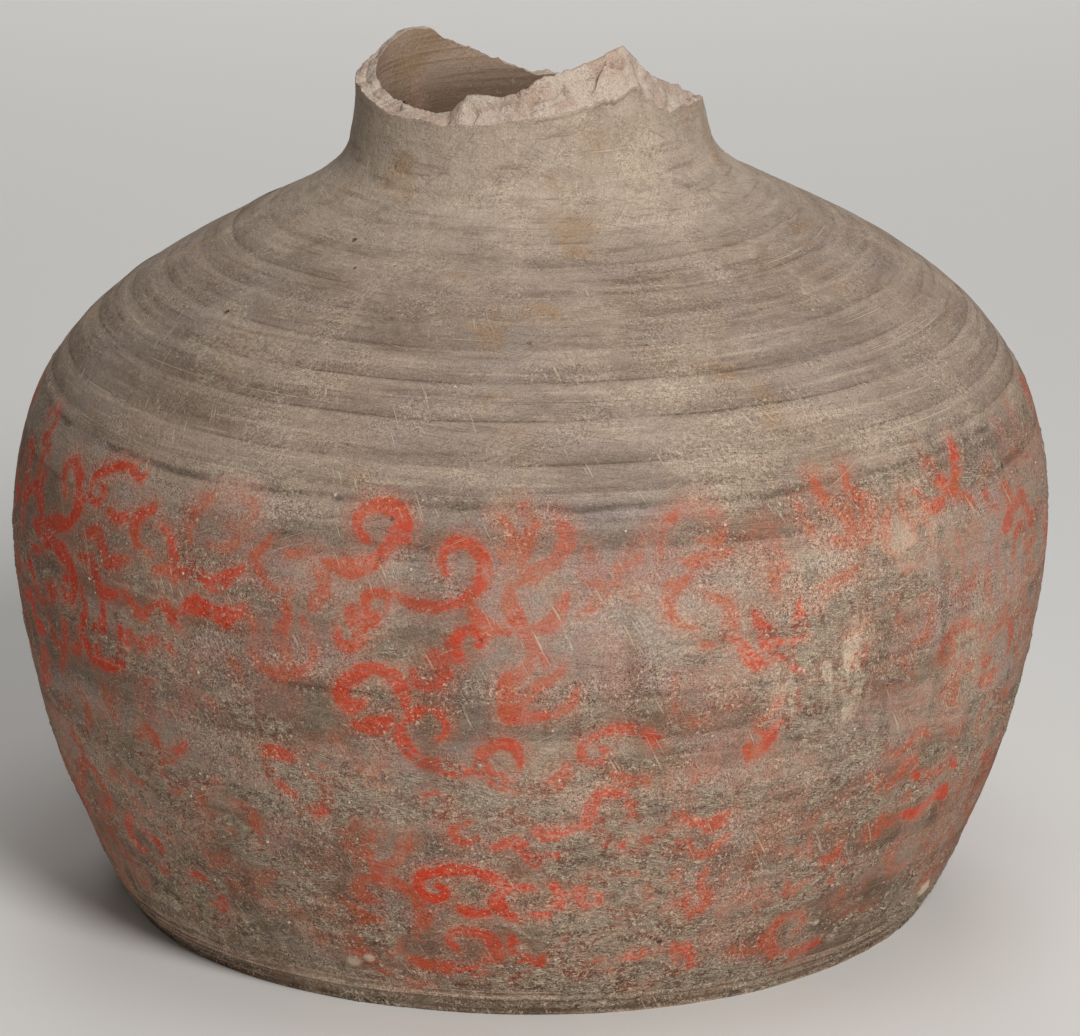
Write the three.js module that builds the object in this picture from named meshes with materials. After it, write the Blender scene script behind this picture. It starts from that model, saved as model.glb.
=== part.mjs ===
// Squat earthenware storage jar whose rim is broken away. Millimetres, +Z up, standing on z = 0,
// with its axis on z and the side that carries the deepest part of the break towards -Y.
// It is built as a potter builds it: a flat base slab, wall and shoulder courses that are luted on one
// above the other with slanted laps, and a neck collar that ends in the broken edge.

import * as THREE from "three";

// Outer outline, from the foot up the wall and past the highest point of the break: radius, height.
const OUTLINE = [
  [117.5, 0], [124.5, 12], [130.5, 26], [138.5, 46.5], [145, 71.5], [149, 96],
  [149.7, 116], [147, 135], [140.5, 153], [127.5, 170], [106.8, 185.5], [83.6, 198.3],
  [63.2, 209], [53.4, 218], [49.8, 230], [49, 242], [49, 258],
];

// Height on the outer wall of each luted joint, bottom to top.
const JOINT_HEIGHTS = [10.5, 37, 67.5, 102, 138.7, 155.3, 178.5, 200];

// Courses above the foot course and below the neck collar, with the steps along their outlines.
const COURSES = [
  { name: "lower_wall_course", steps: 3, tone: "darkClay" },
  { name: "middle_wall_course", steps: 3, tone: "greyClay" },
  { name: "belly_course", steps: 4, tone: "greyClay" },
  { name: "upper_belly_course", steps: 3, tone: "greyClay" },
  { name: "lower_shoulder_course", steps: 4, tone: "slipClay" },
  { name: "upper_shoulder_course", steps: 4, tone: "slipClay" },
];

const WALL_AT_FOOT = 9;
const WALL_AT_BREAK = 5.8;
const LAP = 6; // how much further up the wall a lapped joint comes out on the inside
const SLIP = 0.4; // joint thickness, measured along the outline

// The foot course stands level on the base slab; its inner toe is smoothed down to the floor.
const FOOT_STEPS = 3;
const TOE_START = 21; // height on the inner wall where the toe begins
const TOE = { middle: [111.5, 15], tip: 104 }; // radius and height of its middle, radius of its tip

// Above this height the neck is stretched to the broken edge.
const BREAK_START = 222;
const BREAK_NOMINAL = 240;
const NECK_STEPS = 6;
const BREAK_STEPS = 3;

// Broken edge: angle in degrees from -Y towards +X, height at the outer skin, height at the inner skin.
const BREAK = [
  [-180, 229.8, 230.8], [-168, 233.4, 234.4], [-156, 238, 239], [-145, 241.4, 242.4],
  [-138, 244.5, 245.6], [-129, 245.8, 247.2], [-121, 243.3, 246.4], [-113, 240.7, 245.2],
  [-100, 239.3, 243.2], [-88, 239.1, 241.6], [-75, 238.6, 240.2], [-63, 236.9, 238.2],
  [-50, 235.1, 236.8], [-38, 235.3, 236.2], [-30, 234.7, 237.6], [-24, 234.9, 243],
  [-11, 236, 243], [-2, 237, 244.7], [5, 238.2, 249], [17, 240.2, 250.1],
  [28, 242, 253.8], [37, 243.9, 255], [42, 242.2, 252], [47, 237.4, 248.4],
  [54, 235.6, 244.6], [66, 235.2, 241.6], [76, 234.7, 239], [87, 233, 231.8],
  [100, 231.2, 230.8], [120, 229.8, 230.3], [150, 228.8, 229.6], [168, 228.8, 229.6],
  [180, 229.8, 230.8],
];

const WALL_SEGMENTS = 60;
const NECK_SEGMENTS = 96;

const CLAY = {
  darkClay: { color: "#75695a", roughness: 0.95 },
  greyClay: { color: "#82766a", roughness: 0.93 },
  slipClay: { color: "#85796a", roughness: 0.85 },
  paleClay: { color: "#a39482", roughness: 0.9 },
};

const outline = new THREE.SplineCurve(OUTLINE.map(([radius, height]) => new THREE.Vector2(radius, height)));
outline.arcLengthDivisions = 1600;
const outlineLength = outline.getLength();

// Arc length from the foot at which the outline reaches a height.
function arcAt(height) {
  let below = 0;
  let above = outlineLength;
  while (above - below > 0.001) {
    const middle = (below + above) / 2;
    if (outline.getPointAt(middle / outlineLength).y < height) below = middle;
    else above = middle;
  }
  return below;
}

function outerPoint(arc) {
  return outline.getPointAt(arc / outlineLength);
}

// The wall thins evenly from the foot to the broken edge.
function innerPoint(arc) {
  const share = arc / outlineLength;
  const tangent = outline.getTangentAt(share);
  const inward = new THREE.Vector2(-tangent.y, tangent.x);
  const thickness = THREE.MathUtils.lerp(WALL_AT_FOOT, WALL_AT_BREAK, share);
  return outline.getPointAt(share).addScaledVector(inward, thickness);
}

function evenArcs(from, to, steps) {
  return Array.from({ length: steps + 1 }, (unused, i) => THREE.MathUtils.lerp(from, to, i / steps));
}

// Turns a profile of radius and height about the z axis.
function turned(profile, segments) {
  return new THREE.LatheGeometry(profile, segments).rotateX(Math.PI / 2);
}

function clayMesh(name, geometry, tone) {
  const { color, roughness } = CLAY[tone];
  const mesh = new THREE.Mesh(geometry, new THREE.MeshStandardMaterial({ color, roughness, metalness: 0 }));
  mesh.name = name;
  return mesh;
}

const jointArcs = JOINT_HEIGHTS.map(arcAt);

function baseSlab() {
  const side = evenArcs(0, jointArcs[0] - SLIP / 2, 2).map(outerPoint);
  const centre = new THREE.Vector2(0, side[side.length - 1].y);
  return turned([new THREE.Vector2(0, 0), ...side, centre], WALL_SEGMENTS);
}

function footCourse() {
  const top = jointArcs[1] - SLIP / 2;
  const outer = evenArcs(jointArcs[0] + SLIP / 2, top, FOOT_STEPS).map(outerPoint);
  const inner = evenArcs(arcAt(TOE_START), top + LAP, FOOT_STEPS - 1).map(innerPoint).reverse();
  const toe = [new THREE.Vector2(...TOE.middle), new THREE.Vector2(TOE.tip, outer[0].y)];
  return turned([...outer, ...inner, ...toe, outer[0].clone()], WALL_SEGMENTS);
}

function wallCourse(lowerJoint, upperJoint, steps) {
  const arcs = evenArcs(lowerJoint + SLIP / 2, upperJoint - SLIP / 2, steps);
  const outer = arcs.map(outerPoint);
  const inner = arcs.map((arc) => innerPoint(arc + LAP)).reverse();
  return turned([...outer, ...inner, outer[0].clone()], WALL_SEGMENTS);
}

// Height of the broken edge at an angle in degrees; depth runs from 0 at the outer to 1 at the inner skin.
function breakHeight(angle, depth) {
  const next = Math.max(1, BREAK.findIndex(([rowAngle]) => rowAngle >= angle));
  const [angleA, outerA, innerA] = BREAK[next - 1];
  const [angleB, outerB, innerB] = BREAK[next];
  const between = (angle - angleA) / (angleB - angleA);
  return THREE.MathUtils.lerp(
    THREE.MathUtils.lerp(outerA, outerB, between),
    THREE.MathUtils.lerp(innerA, innerB, between),
    depth,
  );
}

// The collar is turned to a level top first; then each column above BREAK_START is stretched to the break.
function neckCollar() {
  const bottom = jointArcs[jointArcs.length - 1] + SLIP / 2;
  const start = arcAt(BREAK_START);
  const top = arcAt(BREAK_NOMINAL);
  const stretched = evenArcs(start, top, BREAK_STEPS).slice(1);
  const outer = [...evenArcs(bottom, start, NECK_STEPS), ...stretched].map(outerPoint);
  const inner = [...evenArcs(bottom + LAP, start, NECK_STEPS), ...stretched].map(innerPoint).reverse();
  const geometry = turned([...outer, ...inner, outer[0].clone()], NECK_SEGMENTS);

  const outerRadius = outerPoint(top).x;
  const innerRadius = innerPoint(top).x;
  const vertices = geometry.attributes.position;
  for (let i = 0; i < vertices.count; i++) {
    const height = vertices.getZ(i);
    if (height <= BREAK_START) continue;
    const x = vertices.getX(i);
    const y = vertices.getY(i);
    const angle = THREE.MathUtils.radToDeg(Math.atan2(x, -y));
    const depth = THREE.MathUtils.clamp((outerRadius - Math.hypot(x, y)) / (outerRadius - innerRadius), 0, 1);
    const stretch = (breakHeight(angle, depth) - BREAK_START) / (BREAK_NOMINAL - BREAK_START);
    vertices.setZ(i, BREAK_START + (height - BREAK_START) * stretch);
  }
  geometry.computeVertexNormals();
  return geometry;
}

const jar = new THREE.Group();
jar.add(clayMesh("base_slab", baseSlab(), "darkClay"));
jar.add(clayMesh("foot_course", footCourse(), "darkClay"));
COURSES.forEach(({ name, steps, tone }, i) => {
  jar.add(clayMesh(name, wallCourse(jointArcs[i + 1], jointArcs[i + 2], steps), tone));
});
jar.add(clayMesh("neck_collar", neckCollar(), "paleClay"));

export default jar;
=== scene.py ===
import math
from functools import cached_property

import bpy
import numpy as np
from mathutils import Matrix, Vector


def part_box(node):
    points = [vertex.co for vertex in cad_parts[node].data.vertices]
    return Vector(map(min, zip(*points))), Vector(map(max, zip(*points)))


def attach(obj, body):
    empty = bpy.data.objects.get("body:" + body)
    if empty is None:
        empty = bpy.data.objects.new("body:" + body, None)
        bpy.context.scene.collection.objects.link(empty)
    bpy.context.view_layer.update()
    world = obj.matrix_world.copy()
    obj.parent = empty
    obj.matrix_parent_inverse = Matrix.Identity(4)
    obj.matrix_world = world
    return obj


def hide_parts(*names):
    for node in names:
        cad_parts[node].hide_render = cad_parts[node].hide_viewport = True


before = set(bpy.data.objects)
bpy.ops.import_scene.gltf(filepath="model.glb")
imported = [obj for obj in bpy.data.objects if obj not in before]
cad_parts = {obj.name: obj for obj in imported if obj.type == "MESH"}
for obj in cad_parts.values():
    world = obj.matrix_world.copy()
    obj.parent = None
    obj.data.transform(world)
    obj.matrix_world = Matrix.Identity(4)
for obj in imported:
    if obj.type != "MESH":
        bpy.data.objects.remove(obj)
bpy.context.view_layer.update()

mm = 0.001  # the dictionaries below are in millimetres and degrees
rng = np.random.default_rng(731)

jar = {
    # outer outline from the foot past the highest point of the break: radius, height
    "outline": [(117.5, 0), (124.5, 12), (130.5, 26), (138.5, 46.5), (145, 71.5), (149, 96),
                (149.7, 116), (147, 135), (140.5, 153), (127.5, 170), (106.8, 185.5), (83.6, 198.3),
                (63.2, 209), (53.4, 218), (49.8, 230), (49, 242), (49, 258)],
    "wallAtFoot": 9.0,
    "wallAtBreak": 5.8,
    "lap": 6.0,            # how much further up a lapped joint comes out inside
    "lapRows": (0.15, 0.5, 0.9),  # rows across a joint, as shares of the wall
    "seam": 0.03,          # half of what shows of a joint on the outer skin
    "seamDepth": 0.1,
    "seamWidth": 1.0,
    "columns": 960,
    "rowStep": 0.9,
    "innerStep": 4.5,
    # the inner toe of the foot: where it leaves the wall, radius and height down it, radius of its tip
    "toeTop": 21,
    "toe": [(115, 17.8), (111.5, 15), (108, 12.6)],
    "toeTip": 104,
    # rows under the base slab and over it, as shares of its radius
    "underside": (0, 0.12, 0.34, 0.6, 0.81, 0.93, 0.985, 0.997),
    "slabTop": (0.99, 0.9, 0.7, 0.4, 0.15),
    # how far the axis leans to the right at each height
    "leanHeights": [0, 60, 130, 185, 205, 235, 255],
    "lean": [-0.7, -0.4, 0.1, 1.0, 0.8, -0.6, -0.8],
    "oval": 0.45,
    "flats": 0.22,         # hand pressed facets low on the wall
    # heights of the grooves and ridges that the wheel left on the shoulder
    "grooves": [156.6, 163, 172.5, 180, 186.5, 192.3, 197, 202.5, 208.5, 215.7],
    "ridges": [160.5, 168.7, 177, 184, 189.8, 195, 200, 205.2, 212],
    "ripple": 0.055,       # their depth
    "rippleWidth": 2.2,
    "step": 155.3,         # under the smoothed shoulder
    "stepDepth": 0.35,
    "stepWidth": 0.8,
    "footRidge": 0.32,     # ridges along the base
    "footPitch": 3.3,
    "footRadius": 125,
    "rollRadius": 120,     # of the straight cylinder on which the finish draws streaks round the wall
    "darkLines": [152.8, 142.5, 102.5, 67],  # heights of the dark lines round the painted wall
    # where burial silt settled thickest, and below 0 where the wall is darkened instead, by stains
    # and in places by painted shade: angle, height, spreads of both, amount
    "silt": [(32, 98, 7, 24, 1.2), (-26, 66, 26, 7, 1.0), (9, 28, 14, 14, 0.9), (33, 40, 14, 16, 0.8),
             (-52, 44, 12, 18, 0.7), (60, 66, 12, 34, 0.7), (-12, 137, 12, 7, 0.6), (46, 132, 8, 12, 0.7),
             (150, 60, 40, 20, 1.0), (-130, 96, 20, 30, 0.8), (100, 120, 20, 16, 0.6),
             # the darkening at 52 degrees, 36 mm and at 41 degrees, 40 mm is painted shade on the lower
             # right; at -78 and 84 degrees it is painted shade along both rims
             (52, 36, 15, 26, -1.3), (-48, 172, 18, 9, -0.8), (-24, 189, 14, 6, -0.6),
             (-78, 100, 12, 50, -1.2), (84, 80, 12, 60, -0.7), (-10, 60, 5, 60, -0.5),
             (-96, 40, 30, 30, -0.7), (170, 120, 26, 26, -0.6), (41, 40, 17, 27, -1.2),
             (-54, 116, 34, 4.5, -1.0), (-50, 88, 34, 5, -1.0), (-6.6, 124, 1.6, 28, -0.75),
             (-35, 60, 20, 7, -0.8)],
    # where the wall stayed smooth and cool grey, in the same terms
    "smooth": [(5, 129, 17, 21, 1.0), (-4, 188, 6, 11, 0.9), (-32, 141, 17, 11, 0.7),
               (18, 17, 10, 8, 0.7), (-135, 130, 25, 25, 0.9), (120, 150, 20, 30, 0.8)],
    # lumps of hard crust low on the wall: angle, height, spread, how far they stand out
    "lumps": [(-20.5, 17.5, 1.5, 1.0), (-22.8, 15.4, 2.2, 0.7), (63, 15, 2.6, 1.1), (38, 21, 1.3, 0.7),
              (-118, 24, 2.0, 1.0), (141, 33, 2.3, 1.1)],
}
courses = {  # CAD node: the record's slot
    "foot_course": "dark_clay",
    "lower_wall_course": "dark_clay",
    "middle_wall_course": "grey_clay",
    "belly_course": "grey_clay",
    "upper_belly_course": "grey_clay",
    "lower_shoulder_course": "slip_clay",
    "upper_shoulder_course": "slip_clay",
    "neck_collar": "pale_clay",
}


def smoothed(points, before, after, steps):
    # a smooth curve through points, with one more point on either side to steer its ends
    p = np.vstack([before, points, after])
    t = np.linspace(0, 1, steps, endpoint=False)[:, None]
    spans = []
    for a, b, c, d in zip(p, p[1:], p[2:], p[3:]):
        enter, leave = (c - a) / 2, (d - b) / 2
        cubic = (2 * b - 2 * c + enter + leave) * t ** 3
        square = (3 * c - 3 * b - 2 * enter - leave) * t ** 2
        spans.append(cubic + square + enter * t + b)
    return np.vstack(spans + [points[-1:]])


def traceOutline(points):
    p = np.array(points, float)
    curve = smoothed(p, p[0], p[-1], 60)
    along = np.gradient(curve, axis=0)
    along /= np.linalg.norm(along, axis=1)[:, None]
    arc = np.concatenate([[0], np.cumsum(np.linalg.norm(np.diff(curve, axis=0), axis=1))])
    return {"arc": arc, "r": curve[:, 0], "z": curve[:, 1], "nr": along[:, 1], "nz": -along[:, 0]}


wall = traceOutline(jar["outline"])


def atHeight(height, key):
    return np.interp(height, wall["z"], wall[key])


def arcAt(height):
    return float(atHeight(height, "arc"))


def alongWall(arc, *keys):
    return [np.interp(arc, wall["arc"], wall[key]) for key in keys]


def onWall(arc, depth):
    # radius and height of a point in the wall; depth runs from 0 outside to 1 inside
    r, z, nr, nz = alongWall(arc, "r", "z", "nr", "nz")
    share = arc / wall["arc"][-1]
    thick = jar["wallAtFoot"] + (jar["wallAtBreak"] - jar["wallAtFoot"]) * share
    return r - nr * thick * depth, z - nz * thick * depth


def evenSteps(low, high, step):
    return np.linspace(low, high, max(2, int(math.ceil(abs(high - low) / step)) + 1))


def turnFrom(degrees, angle):
    # from one angle to the other by the shorter way round
    return (degrees - angle + 180) % 360 - 180


def around(columns):
    # the columns of a shell: angle from the front, towards +X
    angle = np.arange(columns) / columns * 2 * np.pi
    return {"angle": angle, "degrees": turnFrom(np.degrees(angle), 0)}


def bell(away, width):
    return np.exp(-(away / width) ** 2)


def patchesOn(patches, degrees, height, start=0.0):
    # adds up soft patches: angle, height, spreads of both, amount
    total = np.full(np.broadcast(degrees, height).shape, start)
    for angle, at, wide, high, amount in patches:
        away = turnFrom(degrees, angle)
        total = total + amount * np.exp(-(away / wide) ** 2 - ((height - at) / high) ** 2)
    return total


print("outline traced,", round(wall["arc"][-1]), "mm along the wall")


# Brushwork: worn cinnabar cloud curls, waves and drops in staggered columns round the wall

brushwork = {
    "columns": 41,
    "pitch": 21.5,         # from motif to motif along the wall
    "spread": (0.93, 1.12),
    "lowest": 11.0,
    "highest": 154.0,
    "heavy": 2.35,         # half width of a loaded stroke
    "light": 1.0,
    "press": (0.8, 1.25),
    "size": (1.0, 1.2),
    "widen": (0.85, 1.15),
    "tilt": 12.0,
    "bend": 1.3,
    "shake": 0.4,
    "reach": 17.0,         # no stroke gets further from the middle of its motif
    "away": 6.0,           # the distance stored where there is no stroke near
    # places where more or less of the paint is left: angle, height, spreads of both, gain
    "fresh": [(-56, 122, 10, 38, 1.05), (-74, 120, 8, 38, 0.85), (-25, 135, 14, 26, 0.4),
              (-6, 85, 12, 70, 0.45), (2, 34, 26, 24, 0.45), (20, 28, 6, 14, 0.4),
              (30, 148, 10, 14, 0.25), (62, 140, 14, 24, 0.25),
              (-40, 70, 10, 40, -0.2), (150, 110, 40, 40, 0.35), (-140, 60, 30, 40, 0.3)],
    "left": 0.26,          # what is left elsewhere
}


def curl(x, y, radius, begin, turn, enter, leave, close=1.0):
    # part of a circle, or a spiral that closes to a share of its radius
    t = np.linspace(0, 1, 8 + abs(turn) // 20)
    a = np.radians(begin + turn * t)
    r = radius * (1 + (close - 1) * t)
    return np.stack([x + r * np.cos(a), y + r * np.sin(a), enter + (leave - enter) * t], 1)


def sweep(*points):
    # a brush stroke through points of x, y and half width
    p = np.array(points, float)
    stroke = smoothed(p, 2 * p[0] - p[1], 2 * p[-1] - p[-2], 6)
    stroke[:, 2] = np.maximum(stroke[:, 2], 0.3)
    return stroke


def makeMotifs(full, thin):
    half = (full + thin) / 2
    return [
        # cloud curl with a long tail
        [curl(2, 2.2, 6.6, -30, 255, full, thin, 0.55),
         sweep((7.6, -1.2, full), (3, -6, half), (-4, -8, full), (-11, -6, thin))],
        # scroll curled both ways
        [curl(-4.8, 4.4, 4.8, -60, 250, full, thin, 0.4), curl(4.8, -4.4, 4.8, 120, 250, full, thin, 0.4),
         sweep((-2.5, 0.4, full), (0, 0, half), (2.5, -0.4, full))],
        # two waves
        [sweep((-11, 2, thin), (-6, 5.8, full), (-1.5, 3.2, half), (2.5, 1.2, full), (6.5, 3.4, half),
               (10.5, 6.6, thin)),
         sweep((-10, -6, thin), (-5, -3, full), (-0.5, -5.5, half), (3.5, -7.5, full), (9.5, -4, thin))],
        # pair of commas
        [sweep((-2.5, 8, half), (-7.5, 5, full), (-6.6, -1.5, half), (-1, -4, thin)),
         sweep((2.5, -8.5, half), (7.5, -5.5, full), (6.8, 1, half), (1.5, 4, thin))],
        # cloud arch over a short stroke
        [sweep((-10, -4, thin), (-9, 2.4, full), (-3, 6.4, half), (3, 5.6, full), (7.4, 1.4, half),
               (5.4, -3, full), (1.4, -2, thin)),
         sweep((-5, -6.4, thin), (0, -8, full), (7.5, -7, thin))],
        # leafy spray
        [sweep((-8, -8, thin), (-2.4, -3.6, half), (2.8, 2.6, full), (5.6, 9, thin)),
         sweep((-1.4, -2, thin), (-6, 1.6, full), (-7.4, 8, thin)),
         sweep((3, -2.4, thin), (8, -2.6, full), (11.4, 1.6, thin))],
        # flame of three tongues
        [sweep((-3, -8.5, full), (-8.4, -2, full), (-6, 3.6, half), (-8, 8.6, thin)),
         sweep((-2, -6, half), (-1.6, 0.6, full), (1.6, 5, half), (0.8, 10, thin)),
         sweep((0.5, -7.6, full), (6, -4, half), (8.2, 1.4, full), (7, 6.6, thin))],
        # long stroke ending in a curl
        [sweep((-11, 3.4, full), (-5, 5.4, half), (1.5, 4.6, full), (5, 3, half)),
         curl(3.6, -1.6, 4.6, 70, -330, half, thin, 0.3),
         sweep((-9.5, -6.5, half), (-6, -7.4, full), (-2.5, -6.2, half))],
    ]


def leftOver(degrees, height):
    return patchesOn(brushwork["fresh"], degrees, height, brushwork["left"])


def placeMotifs():
    motifs = makeMotifs(brushwork["heavy"], brushwork["light"])
    placed = []
    for column in range(brushwork["columns"]):
        angle = (column + 0.5) * 360 / brushwork["columns"] - 180
        start = arcAt(brushwork["highest"]) - 9 - (column % 2) * brushwork["pitch"] * 0.45
        arc = start - rng.uniform(0, 4)
        last = -1
        while arc > arcAt(brushwork["lowest"]) + 6:
            kind = int(rng.integers(len(motifs)))
            kind = (kind + 1) % len(motifs) if kind == last else kind
            last = kind
            size = rng.uniform(*brushwork["size"])
            tilt = math.radians(rng.normal(0, brushwork["tilt"]))
            flip = rng.choice([-1, 1])
            turn = np.array([[math.cos(tilt), -math.sin(tilt)], [math.sin(tilt), math.cos(tilt)]]) * size
            bend = rng.uniform(-1, 1, (2, 2))
            strokes = []
            for stroke in motifs[kind]:
                points = (stroke[:, :2] * [flip * rng.uniform(*brushwork["widen"]), 1]) @ turn.T
                points += brushwork["bend"] * np.sin(points[:, ::-1] / 3.8 + 3 * bend[0]) * bend[1]
                points += rng.normal(0, brushwork["shake"], 2)
                press = rng.uniform(*brushwork["press"])
                strokes.append(np.column_stack([points, stroke[:, 2] * press]))
            centre = (angle + rng.normal(0, 0.5), arc)
            fresh = float(leftOver(centre[0], *alongWall(arc, "z"))) + rng.normal(0, 0.2)
            placed.append((centre, strokes, fresh))
            arc -= brushwork["pitch"] * rng.uniform(*brushwork["spread"])
    return placed


def inkOn(arcs, turn):
    # distance to the edge of the nearest stroke, below 0 inside it, and how much paint is left there
    radii, heights = alongWall(arcs, "r", "z")
    ink = np.full((len(arcs), len(turn["angle"])), brushwork["away"])
    fresh = leftOver(turn["degrees"][None, :], heights[:, None])
    reach = brushwork["reach"]
    for (atAngle, atArc), strokes, left in motifsPlaced:
        rows = np.flatnonzero(np.abs(arcs - atArc) < reach)
        if not len(rows):
            continue
        radius = float(alongWall(atArc, "r")[0])
        away = turnFrom(turn["degrees"], atAngle)
        columns = np.flatnonzero(np.abs(np.radians(away)) * radius < reach)
        block = np.ix_(rows, columns)
        x = np.radians(away[columns])[None, :] * radii[rows][:, None]
        y = np.broadcast_to((arcs[rows] - atArc)[:, None], x.shape)
        near = np.full(x.shape, brushwork["away"])
        for stroke in strokes:
            for (ax, ay, aw), (bx, by, bw) in zip(stroke[:-1], stroke[1:]):
                dx, dy = bx - ax, by - ay
                t = np.clip(((x - ax) * dx + (y - ay) * dy) / (dx * dx + dy * dy), 0, 1)
                gap = np.hypot(x - ax - t * dx, y - ay - t * dy) - (aw + t * (bw - aw))
                near = np.minimum(near, gap)
        closer = near < ink[block]
        ink[block] = np.where(closer, near, ink[block])
        fresh[block] = np.where(closer & (near < 2.0), left, fresh[block])
    return ink, fresh


motifsPlaced = placeMotifs()
print("brushwork laid out,", len(motifsPlaced), "motifs")


# Wall shells: plain closed meshes with what the finishes need stored on their points

def heightsOf(arcs):
    return alongWall(arcs, "z")[0][:, None]


def handDrift(arcs, turn):
    # slow wandering of the turned wall, measured outwards
    angle, height = turn["angle"], heightsOf(arcs)
    lean = np.interp(height, jar["leanHeights"], jar["lean"]) * np.sin(angle)
    oval = jar["oval"] * np.cos(2 * angle - 0.6 + height / 90)
    flats = jar["flats"] * np.sin(5 * angle + height / 23) * np.clip(1 - height / 170, 0, 1)
    return lean + oval + flats


def crustLumps(arcs, turn):
    total = np.zeros((len(arcs), len(turn["angle"])))
    for angle, at, spread, depth in jar["lumps"]:
        x = np.radians(turnFrom(turn["degrees"], angle)) * jar["footRadius"]
        total += depth * np.exp(-((x / (spread * 1.3)) ** 2 + ((heightsOf(arcs) - at) / spread) ** 2) ** 1.5)
    return total


def turnedLines(arcs):
    # luted seams, the step under the smoothed shoulder, its wheel ripples and the ridges along the base
    lines = np.zeros_like(arcs)
    for joint in jointArcs[1:]:
        lines -= jar["seamDepth"] * bell(arcs - joint, jar["seamWidth"])
    step = arcAt(jar["step"])
    lines += jar["stepDepth"] / (1 + np.exp((arcs - step) / jar["stepWidth"])) - 0.2
    lines -= 0.16 * bell(arcs - step - 1.0, jar["stepWidth"])
    for heights, sign in ((jar["grooves"], -1), (jar["ridges"], 1)):
        for height in heights:
            lines += sign * jar["ripple"] * bell(arcs - arcAt(height), jar["rippleWidth"])
    ridges = np.sin(2 * np.pi * arcs / jar["footPitch"] + 0.6) * np.exp(-(arcs / 11.0) ** 4)
    lines += jar["footRidge"] * ridges
    return lines[:, None]


def writeMesh(name, xyz, poles=False):
    # rows by columns of points, closed round both ways, or with a single point for the first and last row
    rows, columns = xyz.shape[:2]
    index = np.arange(rows * columns).reshape(rows, columns)
    right = np.roll(index, -1, axis=1)
    if poles:
        inner = slice(1, rows - 2)
        upTo = slice(2, rows - 1)
        quads = np.stack([index[inner], right[inner], right[upTo], index[upTo]], -1).reshape(-1, 4)
        first = np.stack([np.full(columns, index[0, 0]), right[1], index[1]], -1)
        last = np.stack([np.full(columns, index[-1, 0]), index[-2], right[-2]], -1)
        corners = np.concatenate([quads.ravel(), first.ravel(), last.ravel()])
        sizes = np.concatenate([np.full(len(quads), 4), np.full(2 * columns, 3)])
    else:
        up = np.roll(index, -1, axis=0)
        quads = np.stack([index, right, np.roll(up, -1, axis=1), up], -1).reshape(-1, 4)
        corners = quads.ravel()
        sizes = np.full(len(quads), 4)
    mesh = bpy.data.meshes.new(name)
    mesh.vertices.add(rows * columns)
    mesh.vertices.foreach_set("co", (xyz * mm).astype(np.float32).ravel())
    mesh.loops.add(len(corners))
    mesh.loops.foreach_set("vertex_index", corners.astype(np.int32))
    mesh.polygons.add(len(sizes))
    starts = np.concatenate([[0], np.cumsum(sizes)[:-1]])
    mesh.polygons.foreach_set("loop_start", starts.astype(np.int32))
    mesh.update(calc_edges=True)
    mesh.shade_smooth()
    return mesh


def store(mesh, name, values):
    kind, key = ("FLOAT_VECTOR", "vector") if values.ndim == 3 else ("FLOAT", "value")
    mesh.attributes.new(name, kind, "POINT").data.foreach_set(key, values.astype(np.float32).ravel())


def creaseRows(mesh, rows, columns):
    # keeps the corners between skin and joint crisp
    ends = np.empty(len(mesh.edges) * 2, np.int32)
    mesh.edges.foreach_get("vertices", ends)
    row = ends.reshape(-1, 2) // columns
    sharp = (row[:, 0] == row[:, 1]) & np.isin(row[:, 0], rows)
    mesh.attributes.new("sharp_edge", "BOOLEAN", "EDGE").data.foreach_set("value", sharp)


def dressShell(name, rows, creases, turn, poles=False, slope=None):
    # rows holds r, z, arc, outside and broken, each a number for a row or for every point of it;
    # slope holds the outward direction of the rows that don't follow the skin
    angle = turn["angle"]
    r, z, arc, outside, broken = (
        np.array([np.broadcast_to(row[k], angle.shape) for row in rows]) for k in range(5)
    )
    xyz = np.stack([r * np.sin(angle), -r * np.cos(angle), z], -1)
    mesh = writeMesh(name, xyz, poles)
    nr, nz = alongWall(arc, "nr", "nz")
    for row, (rowR, rowZ) in (slope or {}).items():
        nr[row], nz[row] = rowR, rowZ
    nz = nz * np.clip(z / 5 - 0.2, 0, 1)  # beside the floor the relief only goes sideways
    lift = np.stack([nr * np.sin(angle), -nr * np.cos(angle), nz], -1)
    radius = jar["rollRadius"] + 0 * arc
    rolled = np.stack([radius * np.sin(angle), -radius * np.cos(angle), arc], -1) * mm
    layers = {"lift": lift, "rolled": rolled, "outside": outside, "broken": broken}
    layers["ink"] = np.full(arc.shape, brushwork["away"])
    for label in ("fresh", "lumpy", "silt", "smooth"):
        layers[label] = np.zeros(arc.shape)
    painted = np.flatnonzero(outside[:, 0] > 0.5)
    skin = arc[painted, 0]
    layers["ink"][painted], layers["fresh"][painted] = inkOn(skin, turn)
    layers["lumpy"][painted] = crustLumps(skin, turn)
    for label in ("silt", "smooth"):
        layers[label][painted] = patchesOn(jar[label], turn["degrees"], heightsOf(skin))
    for label, values in layers.items():
        store(mesh, label, values)
    creaseRows(mesh, creases, len(angle))
    return mesh


def skinRows(arcs, turn):
    r, z = onWall(arcs, 0)
    drift = handDrift(arcs, turn) + turnedLines(arcs) + crustLumps(arcs, turn)
    nr, nz = alongWall(arcs, "nr", "nz")
    return [(r[i] + nr[i] * drift[i], z[i] + nz[i] * drift[i], a, 1, 0) for i, a in enumerate(arcs)]


def jointRows(start, depths):
    # the slanted joint that a course leaves in the wall
    arcs = [start + jar["lap"] * depth for depth in depths]
    return [(*onWall(arc, depth), arc, 0, 0) for arc, depth in zip(arcs, depths)]


def insideRows(first, last, step):
    return [(*onWall(arc, 1), arc, 0, 0) for arc in evenSteps(first, last, step)]


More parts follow.
